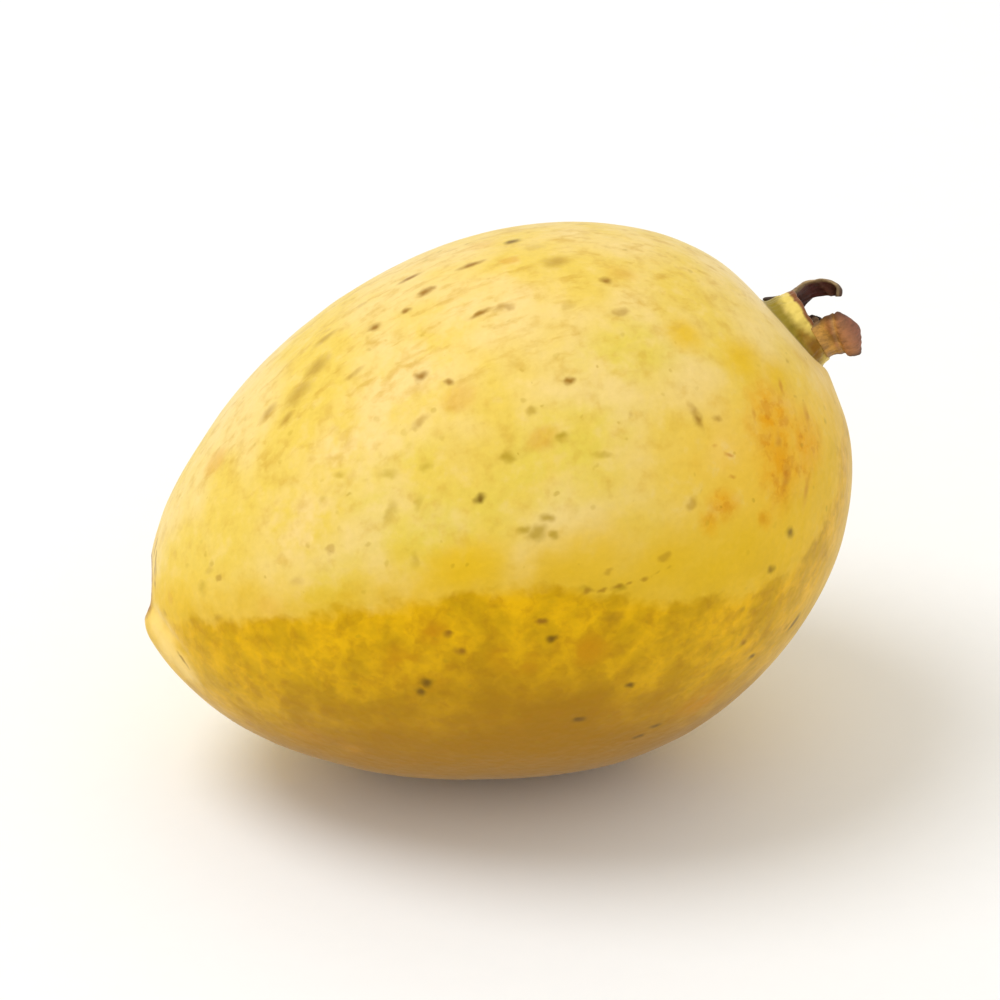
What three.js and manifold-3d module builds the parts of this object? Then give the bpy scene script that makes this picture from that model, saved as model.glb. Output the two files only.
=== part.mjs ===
// A ripe guava lying on its side: an egg-shaped fruit with the dried calyx of the flower
// at its blunt end and the scar of the stalk in a small hollow at its narrow end.
// Millimetres, +Z up. The fruit rests on a small flat spot at z = 0. The long axis lies in
// the XZ plane and rises towards +X, and the calyx is at the +X end.

import * as THREE from 'three';
import { mergeVertices } from 'three/addons/utils/BufferGeometryUtils.js';
import Module from 'manifold-3d';

const wasm = await Module();
wasm.setup();

// Driving dimensions of the fruit, in its own frame: x runs from the stalk end to the
// calyx end, +z is the side that both ends are set off towards, and -y is the front.
const FRUIT_LENGTH = 81.4;
const FRUIT_DIAMETER = 61.8;
const WIDEST_AT = 45.4; // from the stalk end
const STALK_END_FULLNESS = { tip: 15.9, belly: 18.9 }; // handle lengths of the narrow half
const CALYX_END_FULLNESS = { tip: 17.1, belly: 20 }; // handle lengths of the blunt half
const SWELL = [ // uneven growth: sides, share of the radius, phase in radians
  { sides: 2, share: 0.006, phase: 0.6 },
  { sides: 3, share: 0.004, phase: 2.1 },
];

// How the fruit lies.
const REST_TILT = 15; // degrees, calyx end raised
const REST_ROLL = 35; // degrees, the set-off side leans back towards +Y
const FLAT_DEPTH = 0.6; // how far the skin is pressed flat where it rests

// The calyx neck, set off from the long axis in the middle of a flattened patch of skin.
const CALYX_OFFSET = 8.3;
const CALYX_TURN = 80; // degrees around the long axis, from the front
const CALYX_LEAN = 12.5; // degrees from the long axis
const CALYX_FLAT = { offset: 10.2, lean: 20.5, depth: 1.5, radius: 9 };
const NECK_RADIUS = 4.35;
const NECK_HEIGHT = 2.5;
const CUP_RADIUS = 3.5;
const CUP_FLOOR = 0.6; // above the skin of the fruit

// The hollow that the stalk grew from.
const STALK_OFFSET = 5.3;
const STALK_TURN = 90;
const STALK_LEAN = 19.5;
const HOLLOW_RADIUS = 3.3;
const HOLLOW_DEPTH = 1.5;
const SCAR_RADIUS = 1.9;

// The sepals, which stand on the rim of the neck. `turn` is degrees around the neck from
// the front, and `line` holds [out, up] points from the foot of a sepal to its tip.
const SEPAL_THICKNESS = 0.8;
const SEPALS = {
  sepal_upper: {
    turn: 123,
    line: [[0, 0], [-0.1, 1.5], [-0.7, 2.9], [-1.9, 4.2], [-3.2, 4.4]],
    widths: [3.4, 3.4, 1.4],
    cupped: 0.5,
    sway: 0,
  },
  sepal_back: {
    turn: 162,
    line: [[0, 0], [0.9, 0.2], [1.4, -0.7], [1.6, -1.6], [2, -2.3]],
    widths: [1.5, 1.9, 1.3],
    cupped: 0.1,
    sway: -35,
  },
  sepal_far: {
    turn: 193,
    line: [[0, 0], [0, 0.6], [-0.3, 1.1]],
    widths: [2, 2, 1.2],
    cupped: 0.1,
    sway: 0,
  },
  sepal_under: {
    turn: 238,
    line: [[0, 0], [0.2, 1.1], [0.8, 2.1]],
    widths: [3, 3.4, 2],
    cupped: 0.2,
    sway: 0,
  },
  sepal_front: {
    turn: -27,
    line: [[0, 0], [0.4, 1.2], [0.8, 2.4], [0.8, 3.4]],
    widths: [4.4, 6.8, 3.8],
    cupped: 0.4,
    sway: 0,
  },
};

const GAP = 0.3; // between one piece and the next

// How finely the round shapes are divided.
const BODY_SIDES = 56;
const HALF_STEPS = 21;
const NECK_SIDES = 36;
const SMALL_SIDES = 28;
const SEPAL_STEPS = { across: 6, along: 10 };

const SKIN = new THREE.MeshStandardMaterial({ color: 0xe3c25a, roughness: 0.45, metalness: 0 });
const SEPAL = new THREE.MeshStandardMaterial({ color: 0x8a5c34, roughness: 0.8, metalness: 0 });
const DRIED_FLOWER = new THREE.MeshStandardMaterial({ color: 0x4a3020, roughness: 0.9, metalness: 0 });
const WOOD = new THREE.MeshStandardMaterial({ color: 0x7a5a3c, roughness: 0.9, metalness: 0 });

// Solids ------------------------------------------------------------------------------

function toSolid(geometry) {
  const bare = geometry.clone();
  bare.deleteAttribute('normal');
  bare.deleteAttribute('uv');
  const merged = mergeVertices(bare, 1e-4);
  const index = merged.index.array;
  const triangles = [];
  for (let i = 0; i < index.length; i += 3) {
    const [a, b, c] = [index[i], index[i + 1], index[i + 2]];
    if (a !== b && b !== c && c !== a) triangles.push(a, b, c);
  }
  return new wasm.Manifold(new wasm.Mesh({
    numProp: 3,
    vertProperties: new Float32Array(merged.attributes.position.array),
    triVerts: new Uint32Array(triangles),
  }));
}

function toGeometry(solid) {
  const mesh = solid.getMesh();
  const geometry = new THREE.BufferGeometry();
  geometry.setAttribute('position', new THREE.BufferAttribute(mesh.vertProperties, 3));
  geometry.setIndex(new THREE.BufferAttribute(mesh.triVerts, 1));
  geometry.computeVertexNormals();
  return geometry;
}

function piece(name, geometry, material) {
  const mesh = new THREE.Mesh(toGeometry(toSolid(geometry)), material.clone());
  mesh.name = name;
  return mesh;
}

/** Turns a profile of [radius, height] points about the Y axis. */
function turned(profile, sides) {
  return new THREE.LatheGeometry(profile.map(([r, h]) => new THREE.Vector2(r, h)), sides);
}

// The fruit ---------------------------------------------------------------------------

const point = (radius, along) => new THREE.Vector2(radius, along);
const widest = FRUIT_DIAMETER / 2;

const stalkHalf = new THREE.CubicBezierCurve(
  point(0, 0),
  point(STALK_END_FULLNESS.tip, 0),
  point(widest, WIDEST_AT - STALK_END_FULLNESS.belly),
  point(widest, WIDEST_AT),
);

const calyxHalf = new THREE.CubicBezierCurve(
  point(widest, WIDEST_AT),
  point(widest, WIDEST_AT + CALYX_END_FULLNESS.belly),
  point(CALYX_END_FULLNESS.tip, FRUIT_LENGTH),
  point(0, FRUIT_LENGTH),
);

const CALYX_SEAT = {
  curve: calyxHalf,
  end: 1,
  offset: CALYX_OFFSET,
  turn: CALYX_TURN,
  lean: CALYX_LEAN,
  sunk: CALYX_FLAT.depth,
};

const STALK_SEAT = {
  curve: stalkHalf,
  end: -1,
  offset: STALK_OFFSET,
  turn: STALK_TURN,
  lean: STALK_LEAN,
  sunk: 0,
};

/** The egg-shaped body, with the long axis along x. */
function bodyGeometry() {
  const outline = [...stalkHalf.getPoints(HALF_STEPS), ...calyxHalf.getPoints(HALF_STEPS).slice(1)];
  const geometry = new THREE.LatheGeometry(outline, BODY_SIDES);
  geometry.rotateZ(-Math.PI / 2);
  const position = geometry.attributes.position;
  for (let i = 0; i < position.count; i += 1) {
    const share = position.getX(i) / FRUIT_LENGTH;
    const around = Math.atan2(position.getZ(i), -position.getY(i));
    const middle = Math.sin(Math.PI * THREE.MathUtils.clamp(share, 0, 1));
    const swell = SWELL.reduce((sum, w) => sum + w.share * Math.sin(w.sides * around + w.phase), 0);
    const scale = 1 + swell * middle;
    position.setY(i, position.getY(i) * scale);
    position.setZ(i, position.getZ(i) * scale);
  }
  return geometry;
}

/** Presses the skin in around the calyx, so that the neck stands on a flatter patch. */
function flattenCalyxEnd(geometry) {
  const seat = seatOnSkin({ ...CALYX_SEAT, ...CALYX_FLAT, sunk: 0 });
  const outward = new THREE.Vector3(0, 1, 0).applyQuaternion(seat.quaternion);
  const vertex = new THREE.Vector3();
  const position = geometry.attributes.position;
  for (let i = 0; i < position.count; i += 1) {
    vertex.fromBufferAttribute(position, i);
    const distance = vertex.distanceTo(seat.position);
    const press = CALYX_FLAT.depth * Math.exp(-((distance / CALYX_FLAT.radius) ** 2));
    vertex.addScaledVector(outward, -press);
    position.setXYZ(i, vertex.x, vertex.y, vertex.z);
  }
}

/**
 * A group that stands on the skin near one end of the long axis, `offset` to the side of
 * it, with its Y axis pointing outwards and leaning by `lean` to that same side.
 */
function seatOnSkin({ curve, end, offset, turn, lean, sunk }) {
  const nearest = (a, b) => (Math.abs(a.x - offset) < Math.abs(b.x - offset) ? a : b);
  const foot = curve.getPoints(400).reduce(nearest);
  const { degToRad } = THREE.MathUtils;
  const aside = new THREE.Vector3(0, -Math.cos(degToRad(turn)), Math.sin(degToRad(turn)));
  const outward = new THREE.Vector3(end * Math.cos(degToRad(lean)), 0, 0)
    .addScaledVector(aside, Math.sin(degToRad(lean)));
  const seat = new THREE.Group();
  seat.position.set(foot.y, 0, 0).addScaledVector(aside, foot.x).addScaledVector(outward, -sunk);
  seat.quaternion.setFromUnitVectors(new THREE.Vector3(0, 1, 0), outward);
  seat.updateMatrix();
  return seat;
}

/** The short neck that carries the sepals, flared into the skin, with a shallow cup. */
function neckGeometry() {
  return turned([
    [0, -2.5],
    [NECK_RADIUS + 1.8, -2.5],
    [NECK_RADIUS + 1.5, -0.9],
    [NECK_RADIUS + 0.7, -0.3],
    [NECK_RADIUS + 0.2, 0.4],
    [NECK_RADIUS, 1.2],
    [NECK_RADIUS, NECK_HEIGHT - 0.3],
    [NECK_RADIUS - 0.3, NECK_HEIGHT],
    [CUP_RADIUS + 0.2, NECK_HEIGHT],
    [CUP_RADIUS, NECK_HEIGHT - 0.3],
    [CUP_RADIUS - 0.2, CUP_FLOOR + 0.3],
    [CUP_RADIUS - 0.6, CUP_FLOOR],
    [0, CUP_FLOOR],
  ], NECK_SIDES);
}

/** What is cut away to leave the stalk's hollow. */
function hollowGeometry() {
  return turned([
    [0, -HOLLOW_DEPTH],
    [HOLLOW_RADIUS * 0.68, -HOLLOW_DEPTH],
    [HOLLOW_RADIUS * 0.9, -HOLLOW_DEPTH * 0.75],
    [HOLLOW_RADIUS, -HOLLOW_DEPTH * 0.4],
    [HOLLOW_RADIUS * 1.25, HOLLOW_DEPTH * 0.4],
    [HOLLOW_RADIUS * 1.3, HOLLOW_DEPTH],
    [0, HOLLOW_DEPTH],
  ], SMALL_SIDES);
}

function lowestPoint(geometry) {
  geometry.computeBoundingBox();
  return geometry.boundingBox.min.z;
}

/** Turns and lifts the whole fruit into the way it lies, with the flat spot at z = 0. */
function layDown(group, body) {
  const { degToRad } = THREE.MathUtils;
  group.rotation.set(-degToRad(REST_ROLL), -degToRad(REST_TILT), 0, 'YXZ');
  group.updateMatrix();
  group.position.z = -lowestPoint(body.clone().applyMatrix4(group.matrix)) - FLAT_DEPTH;
  group.updateMatrix();
}

const calyxSeat = seatOnSkin(CALYX_SEAT);
const stalkSeat = seatOnSkin(STALK_SEAT);

const guava = new THREE.Group();
const body = bodyGeometry();
flattenCalyxEnd(body);
layDown(guava, body);

const below = new THREE.BoxGeometry(200, 200, 20).translate(0, 0, -10);
below.applyMatrix4(guava.matrix.clone().invert());

const fruitSolid = toSolid(body)
  .add(toSolid(neckGeometry().applyMatrix4(calyxSeat.matrix)))
  .subtract(toSolid(hollowGeometry().applyMatrix4(stalkSeat.matrix)))
  .subtract(toSolid(below));
const fruit = new THREE.Mesh(toGeometry(fruitSolid), SKIN.clone());
fruit.name = 'fruit';

// The calyx ---------------------------------------------------------------------------

/**
 * A dried sepal: a leathery flap that grows from the rim of the neck. It follows `line`, is
 * `widths` across at its foot, middle and tip, and leans sideways by `sway` degrees. Its
 * edges turn in by `cupped`.
 */
function sepalGeometry({ turn, line, widths, cupped, sway }) {
  const spine = new THREE.SplineCurve(line.map(([out, up]) => new THREE.Vector2(out, up)));
  const geometry = new THREE.BoxGeometry(
    1,
    SEPAL_THICKNESS,
    1,
    SEPAL_STEPS.across,
    1,
    SEPAL_STEPS.along,
  );
  const position = geometry.attributes.position;
  for (let i = 0; i < position.count; i += 1) {
    const across = position.getX(i);
    const along = position.getZ(i) + 0.5;
    const at = spine.getPoint(along);
    const heading = spine.getTangent(along);
    const [foot, middle, tip] = widths;
    const bulge = 4 * along * (1 - along) * (middle - (foot + tip) / 2);
    const width = THREE.MathUtils.lerp(foot, tip, along) + bulge;
    const inward = position.getY(i) + cupped * (2 * across) ** 2 * Math.sin(Math.PI * along / 2);
    const sideways = across * width + at.y * Math.tan(THREE.MathUtils.degToRad(sway));
    position.setXYZ(i, at.x - heading.y * inward, at.y + heading.x * inward, -sideways);
  }
  geometry.translate(NECK_RADIUS - SEPAL_THICKNESS / 2, NECK_HEIGHT + GAP, 0);
  geometry.rotateY(-THREE.MathUtils.degToRad(turn));
  return geometry;
}

/** The dried disc in the cup, with the stub of the style at its centre. */
function flowerRemainsGeometry() {
  const base = CUP_FLOOR + GAP;
  return turned([
    [0, base],
    [CUP_RADIUS - 0.9, base],
    [CUP_RADIUS - 0.6, base + 0.4],
    [CUP_RADIUS - 1.2, base + 0.8],
    [0.9, base + 0.6],
    [0.55, base + 0.9],
    [0.45, base + 2.6],
    [0, base + 2.8],
  ], SMALL_SIDES);
}

for (const [name, shape] of Object.entries(SEPALS)) {
  calyxSeat.add(piece(name, sepalGeometry(shape), SEPAL));
}
calyxSeat.add(piece('flower_remains', flowerRemainsGeometry(), DRIED_FLOWER));

// The stalk scar ----------------------------------------------------------------------

/** The corky end of the stalk: a low disc with a raised ring and a pit in the middle. */
function stalkScarGeometry() {
  const base = GAP - HOLLOW_DEPTH;
  return turned([
    [0, base],
    [SCAR_RADIUS - 0.2, base],
    [SCAR_RADIUS, base + 0.3],
    [SCAR_RADIUS - 0.2, base + 0.9],
    [SCAR_RADIUS * 0.6, base + 0.9],
    [SCAR_RADIUS * 0.35, base + 0.5],
    [0, base + 0.45],
  ], SMALL_SIDES);
}

stalkSeat.add(piece('stalk_scar', stalkScarGeometry(), WOOD));

guava.add(fruit, calyxSeat, stalkSeat);

// The origin is at the middle of the bounding box, at its foot.
const model = new THREE.Group();
model.add(guava);
model.updateMatrixWorld(true);
const bounds = new THREE.Box3().setFromObject(model, true);
model.position.set(-(bounds.min.x + bounds.max.x) / 2, -(bounds.min.y + bounds.max.y) / 2, 0);

export default model;
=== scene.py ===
import math
import random

import bmesh
import bpy
import numpy as np
from mathutils import Matrix, Vector, noise


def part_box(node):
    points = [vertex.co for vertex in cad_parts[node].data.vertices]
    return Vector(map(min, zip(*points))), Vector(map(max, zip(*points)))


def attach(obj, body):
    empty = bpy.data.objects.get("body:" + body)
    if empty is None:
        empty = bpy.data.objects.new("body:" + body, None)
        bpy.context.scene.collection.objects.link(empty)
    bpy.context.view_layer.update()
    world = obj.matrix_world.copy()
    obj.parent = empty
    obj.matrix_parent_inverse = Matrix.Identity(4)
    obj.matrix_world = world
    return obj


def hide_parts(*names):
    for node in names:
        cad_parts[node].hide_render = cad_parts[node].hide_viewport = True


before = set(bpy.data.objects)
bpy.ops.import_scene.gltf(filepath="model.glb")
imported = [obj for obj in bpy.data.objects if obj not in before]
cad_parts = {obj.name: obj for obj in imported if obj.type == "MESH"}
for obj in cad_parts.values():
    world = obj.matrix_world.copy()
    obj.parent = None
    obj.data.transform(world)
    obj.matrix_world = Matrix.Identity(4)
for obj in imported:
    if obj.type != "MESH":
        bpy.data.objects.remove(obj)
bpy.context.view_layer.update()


# The fruit -----------------------------------------------------------------------------
# The fruit is one grown thing: a thin waxy skin over firm flesh, egg-shaped, with a short
# neck at the blunt end that carries the sepals and a corky hollow at the narrow end where
# the stalk came away. It rests on a small flat spot of its own weight.

MM = 0.001
FRUIT_LENGTH = 81.4
FRUIT_RADIUS = 30.9
WIDEST_AT = 45.4
STALK_END_HANDLES = (15.9, 18.9)  # tip and belly
CALYX_END_HANDLES = (17.1, 20.0)
SWELL = [(2, 0.006, 0.6), (3, 0.004, 2.1)]  # sides, share of the radius, phase

REST_TILT = 15
REST_ROLL = 35
FLAT_DEPTH = 0.6
FLAT_EDGE = 0.15

CALYX = {"offset": 8.3, "turn": 80, "lean": 12.5, "sunk": 1.5, "end": 1}
CALYX_FLAT = {"offset": 10.2, "turn": 80, "lean": 20.5, "sunk": 0, "end": 1}
CALYX_FLAT_RADIUS = 9
STALK = {"offset": 5.3, "turn": 90, "lean": 19.5, "sunk": 0, "end": -1}

COLUMNS = 320
SKIN_ROWS = 190
FILLET_ROWS = 9
CALYX_RING = 5.6  # radius of the last ring of skin before the neck
STALK_RING = 3.7

# The neck, as radius and height above its seat, from the fillet over the rim to the cup floor.
NECK = [
    (4.78, 0.7), (4.62, 1.2), (4.45, 1.9), (4.38, 2.35), (4.2, 2.62), (3.9, 2.66), (3.66, 2.4),
    (3.5, 1.8), (3.35, 1.1), (3.0, 0.7), (1.6, 0.6), (0.4, 0.6),
]
NECK_ROWS = 46
NECK_HEIGHT = 2.6
HOLLOW = [(2.85, -0.72), (2.7, -1.05), (2.3, -1.5), (1.3, -1.8), (0.3, -1.8)]
HOLLOW_ROWS = 16

# Uneven growth of the skin: where, how far it reaches, how high it stands (or sinks).
RISES = [
    ((79.9, -3.4, 3.6), 2.6, 0.55),
    ((0.2, -1.0, 1.0), 2.6, 0.8),
    ((0.8, -2.6, -2.4), 3.2, 0.45),
    ((66, -22, -10), 13, 0.25),
    ((30, -24, 14), 12, 0.22),
    ((48, -12, 27), 14, -0.2),
    ((20, 20, -8), 14, 0.3),
    ((58, 26, 6), 12, -0.3),
    ((38, 24, -18), 15, 0.3),
    ((44, 5, -30), 12, 0.25),
]
LIP_GROOVE = [
    (0.7, -3.6, 2.6), (1.1, -5.4, 0.9), (1.7, -7.2, -1.3), (2.7, -8.3, -3.8), (4.2, -9.4, -6.4),
]
GROOVE_WIDTH = 0.9
GROOVE_DEPTH = 0.36
UNEVENNESS = [(22, 0.32), (9, 0.12), (3.4, 0.035)]  # size and height of each
RIM_SLANT = 0.22  # how much higher the neck's rim stands on its upper side
RIM_RAGGED = 0.13
NECK_LUMPS = 0.2
HOLLOW_LUMPS = 0.12
LUMP_SIZES = (0.9, 0.45)
NECK_TIGHTNESS, HOLLOW_TIGHTNESS = 0.45, 0.4  # how long the handles of the two fillets are
OUTLINE_POINTS = 500  # for each half of the egg
LINE_POINTS = 60


def bezier(start, first, second, end, count):
    """Points along a cubic curve; the four given points may be rows of many points."""
    t = np.linspace(0, 1, count).reshape((count,) + (1,) * np.ndim(start))
    start, first, second, end = (np.asarray(p, float) for p in (start, first, second, end))
    outer = (1 - t) ** 3 * start + t**3 * end
    return outer + 3 * (1 - t) ** 2 * t * first + 3 * (1 - t) * t * t * second


def through(points, count):
    """A smooth line through given points."""
    points = np.asarray(points, float)
    ends = np.vstack([2 * points[0] - points[1], points, 2 * points[-1] - points[-2]])
    place = np.linspace(0, len(points) - 1, count)
    index = np.minimum(place.astype(int), len(points) - 2)
    t = (place - index)[:, None]
    a, b, c, d = (ends[index + k] for k in range(4))
    bend = 2 * a - 5 * b + 4 * c - d
    return 0.5 * (2 * b + (c - a) * t + bend * t**2 + (3 * b - a - 3 * c + d) * t**3)


def smoothed(share):
    """A share from 0 to 1, with a soft start and end."""
    share = np.clip(share, 0, 1)
    return share * share * (3 - 2 * share)


def unit(vector):
    return vector / np.linalg.norm(vector, axis=-1, keepdims=True)


def rough(points, size, seed=0.0):
    """Smooth noise between about -1 and 1, with lumps of the given size."""
    places = (np.asarray(points) / size + seed).reshape(-1, 3)
    return np.array([noise.noise(Vector(place)) for place in places])


def egg_outline():
    """(x, radius) from the stalk end to the calyx end."""
    widest = (WIDEST_AT, FRUIT_RADIUS)
    tip, belly = STALK_END_HANDLES
    narrow = bezier((0, 0), (0, tip), (WIDEST_AT - belly, FRUIT_RADIUS), widest, OUTLINE_POINTS)
    tip, belly = CALYX_END_HANDLES
    belly_handle = (WIDEST_AT + belly, FRUIT_RADIUS)
    blunt = bezier(widest, belly_handle, (FRUIT_LENGTH, tip), (FRUIT_LENGTH, 0), OUTLINE_POINTS)
    return np.vstack([narrow, blunt[1:]])


def seat_on_skin(offset, turn, lean, sunk, end):
    """The seat of an end piece, `offset` from the long axis and sunk into the skin.

    It has a foot, a direction outward, an axis (the same line, pointing towards the calyx end)
    and the x where that line meets the long axis of the fruit.
    """
    half = OUTLINE[len(OUTLINE) // 2:] if end > 0 else OUTLINE[:len(OUTLINE) // 2]
    along, radius = half[np.abs(half[:, 1] - offset).argmin()]
    turn, lean = math.radians(turn), math.radians(lean)
    aside = np.array([0, -math.cos(turn), math.sin(turn)])
    outward = np.array([end * math.cos(lean), 0, 0]) + aside * math.sin(lean)
    foot = np.array([along, 0, 0]) + aside * radius - outward * sunk
    meets = along - end * offset / math.tan(lean)
    return {"foot": foot, "outward": outward, "axis": outward * end, "meets": meets}


def ring_directions(axis):
    """Two directions across an axis, the first towards the front."""
    front = unit(np.array([0, -1, 0]) + axis * axis[1])
    return front, np.cross(front, axis)


def spokes_round(axis, turn):
    """The directions across an axis at each turn, the first towards the front."""
    front, side = ring_directions(axis)
    return np.cos(turn)[:, None] * front + np.sin(turn)[:, None] * side


def swollen(points):
    """The egg's points, pushed out where the fruit is not quite round."""
    around = np.arctan2(points[..., 2], -points[..., 1])
    middle = np.sin(math.pi * np.clip(points[..., 0] / FRUIT_LENGTH, 0, 1))
    scale = 1 + middle * sum(share * np.sin(sides * around + phase) for sides, share, phase in SWELL)
    return points * np.stack([np.ones_like(scale), scale, scale], -1)


def egg_ring(share):
    """One ring of the bare egg, from the stalk hollow (0) to the calyx (1)."""
    eased = smoothed(share)
    meets = stalk["meets"] + (calyx["meets"] - stalk["meets"]) * eased
    axis = unit(stalk["axis"] * (1 - eased) + calyx["axis"] * eased)
    stalk_angle = math.asin(STALK_RING / np.linalg.norm(stalk["foot"] - (stalk["meets"], 0, 0)))
    calyx_angle = math.asin(CALYX_RING / np.linalg.norm(calyx["foot"] - (calyx["meets"], 0, 0)))
    polar = (math.pi - stalk_angle) * (1 - share) + calyx_angle * share
    heading = math.cos(polar) * axis + math.sin(polar) * spokes_round(axis, AROUND)
    slope = np.arctan2(np.hypot(heading[:, 1], heading[:, 2]), heading[:, 0])
    from_meets = OUTLINE - (meets, 0)
    outline_slope = np.arctan2(from_meets[:, 1], from_meets[:, 0])
    reach = np.interp(slope, outline_slope[::-1], np.hypot(*from_meets.T)[::-1])
    return swollen(np.array([meets, 0, 0]) + heading * reach[:, None])


def distance_to_line(points, line):
    """Distance from each point to a smooth line, and how far along the line that is."""
    line = through(line, LINE_POINTS)
    gaps = np.linalg.norm(points[..., None, :] - line, axis=-1)
    return gaps.min(axis=-1), gaps.argmin(axis=-1) / (len(line) - 1)


def outward_normals(rows):
    """The outward direction at each point of a surface made of rings."""
    along = np.gradient(rows, axis=0)
    across = np.roll(rows, -1, axis=1) - np.roll(rows, 1, axis=1)
    return unit(np.cross(along, across))


def grown(rows):
    """The bare egg with the flat patch, swellings, hollows and unevenness of a real fruit."""
    flat = seat_on_skin(**CALYX_FLAT)
    distance = np.linalg.norm(rows - flat["foot"], axis=-1)
    sunk = CALYX["sunk"] * np.exp(-((distance / CALYX_FLAT_RADIUS) ** 2))
    rows = rows - flat["outward"] * sunk[..., None]
    height = np.zeros(rows.shape[:2])
    for centre, reach, rise in RISES:
        height += rise * np.exp(-((np.linalg.norm(rows - centre, axis=-1) / reach) ** 2))
    gap, along = distance_to_line(rows, LIP_GROOVE)
    fading = np.sin(math.pi * np.clip(along + 0.2, 0, 1))
    height -= GROOVE_DEPTH * fading * np.exp(-((gap / GROOVE_WIDTH) ** 2))
    for size, rise in UNEVENNESS:
        height += rise * rough(rows, size).reshape(height.shape)
    return rows + outward_normals(rows) * height[..., None]


def turned_rows(seat, profile, count):
    """Rings of a turned profile of (radius, height) about a seat's outward direction."""
    spokes = spokes_round(seat["axis"], AROUND)
    shape = through(profile, count)
    return seat["foot"] + shape[:, :1, None] * spokes + shape[:, 1:, None] * seat["outward"]


def ribbed(rows, seat, amount):
    """Low ribs and lumps on the wall of the neck or of the hollow."""
    from_foot = rows - seat["foot"]
    rise = (from_foot @ seat["outward"])[..., None] * seat["outward"]
    coarse, fine = LUMP_SIZES
    lumps = (rough(rows - 0.75 * rise, coarse) + 0.5 * rough(rows, fine)).reshape(rows.shape[:2])
    inner_rings = np.linspace(1, 0, len(rows))[:, None] ** 0.5
    return rows + unit(from_foot - rise) * (amount * lumps * inner_rings)[..., None]


def neck_rows():
    """Rings of the neck from its foot over the ragged rim into the cup."""
    rows = turned_rows(calyx, NECK, NECK_ROWS)
    from_foot = rows - calyx["foot"]
    height = (from_foot @ calyx["outward"])[..., None]
    side = ring_directions(calyx["outward"])[1]
    upper_side = (from_foot @ (0.97 * side)) / 4.4
    ragged = RIM_RAGGED * rough(rows, 1.1, 5.0).reshape(rows.shape[:2])
    lift = (RIM_SLANT * upper_side + ragged)[..., None] * np.clip(height / NECK_HEIGHT, 0, 1) ** 3
    return ribbed(rows + lift * calyx["outward"], calyx, NECK_LUMPS)


def fillet(skin_ring, before, wall_ring, outward, tightness):
    """Rows that carry the skin from its last ring round into a wall."""
    handle = np.linalg.norm(wall_ring - skin_ring, axis=-1, keepdims=True) * tightness
    leaving = skin_ring + unit(skin_ring - before) * handle
    arriving = wall_ring - outward * handle
    return bezier(skin_ring, leaving, arriving, wall_ring, FILLET_ROWS + 2)[1:-1]


def settled(rows):
    """Presses the skin soft-edged flat where the fruit rests."""
    placed = rows @ LAY_DOWN.T + lift_and_shift
    depth = placed[..., 2]
    placed[..., 2] = 0.5 * (depth + np.sqrt(depth**2 + FLAT_EDGE**2))
    return (placed - lift_and_shift) @ LAY_DOWN


def lofted(name, shells, marks=None):
    """A mesh of closed shells, each through rings of points in the fruit's own frame.

    A point in the middle of each end ring closes a shell. `marks` holds named numbers, one
    array a shell with one number for each point of its rings, for the material to read.
    """
    points, faces, numbers = [], [], {key: [] for key in marks or {}}
    for shell, rings in enumerate(shells):
        rings = np.asarray(rings, float)
        count, sides = rings.shape[:2]
        base = sum(len(p) for p in points)
        last = base + (count - 1) * sides
        poles = [rings[0].mean(axis=0), rings[-1].mean(axis=0)]
        points.append(np.vstack([rings.reshape(-1, 3), poles]))
        for key in numbers:
            given = np.asarray(marks[key][shell], float)
            at_poles = [given[0].mean(), given[-1].mean()]
            numbers[key].append(np.concatenate([given.ravel(), at_poles]))
        for side in range(sides):
            after = (side + 1) % sides
            faces.append((base + count * sides, base + after, base + side))
            faces.append((base + count * sides + 1, last + side, last + after))
            for a in range(base, last, sides):
                faces.append((a + side, a + after, a + sides + after, a + sides + side))
    laid = np.vstack(points) @ LAY_DOWN.T + lift_and_shift
    mesh = bpy.data.meshes.new(name)
    mesh.from_pydata((laid * MM).tolist(), [], faces)
    for key, values in numbers.items():
        mesh.attributes.new(key, "FLOAT", "POINT").data.foreach_set("value", np.concatenate(values))
    shape = bmesh.new()
    shape.from_mesh(mesh)
    bmesh.ops.recalc_face_normals(shape, faces=shape.faces)
    shape.to_mesh(mesh)
    shape.free()
    mesh.shade_smooth()
    made = bpy.data.objects.new(name, mesh)
    bpy.context.scene.collection.objects.link(made)
    return made


OUTLINE = egg_outline()
AROUND = np.linspace(0, 2 * math.pi, COLUMNS, endpoint=False)
tilted = Matrix.Rotation(math.radians(-REST_TILT), 3, "Y")
LAY_DOWN = np.array(tilted @ Matrix.Rotation(math.radians(-REST_ROLL), 3, "X"))
calyx = seat_on_skin(**CALYX)
stalk = seat_on_skin(**STALK)

egg = np.stack([egg_ring(share) for share in np.linspace(0, 1, SKIN_ROWS)])
lowest = (egg @ LAY_DOWN.T).reshape(-1, 3).min(axis=0)
fruit_low = np.array(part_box("fruit")[0]) / MM
lift_and_shift = np.array([fruit_low[0] - lowest[0], fruit_low[1] - lowest[1], -FLAT_DEPTH - lowest[2]])

skin = grown(egg)
neck = neck_rows()
hollow = ribbed(turned_rows(stalk, HOLLOW, HOLLOW_ROWS), stalk, HOLLOW_LUMPS)
to_neck = fillet(skin[-1], skin[-2], neck[0], calyx["outward"], NECK_TIGHTNESS)
to_hollow = fillet(skin[0], skin[1], hollow[0], -stalk["outward"], HOLLOW_TIGHTNESS)
whole = np.concatenate([hollow[::-1], to_hollow[::-1], skin, to_neck, neck])
fruit = lofted("fruit_skin", [settled(whole)])
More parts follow.
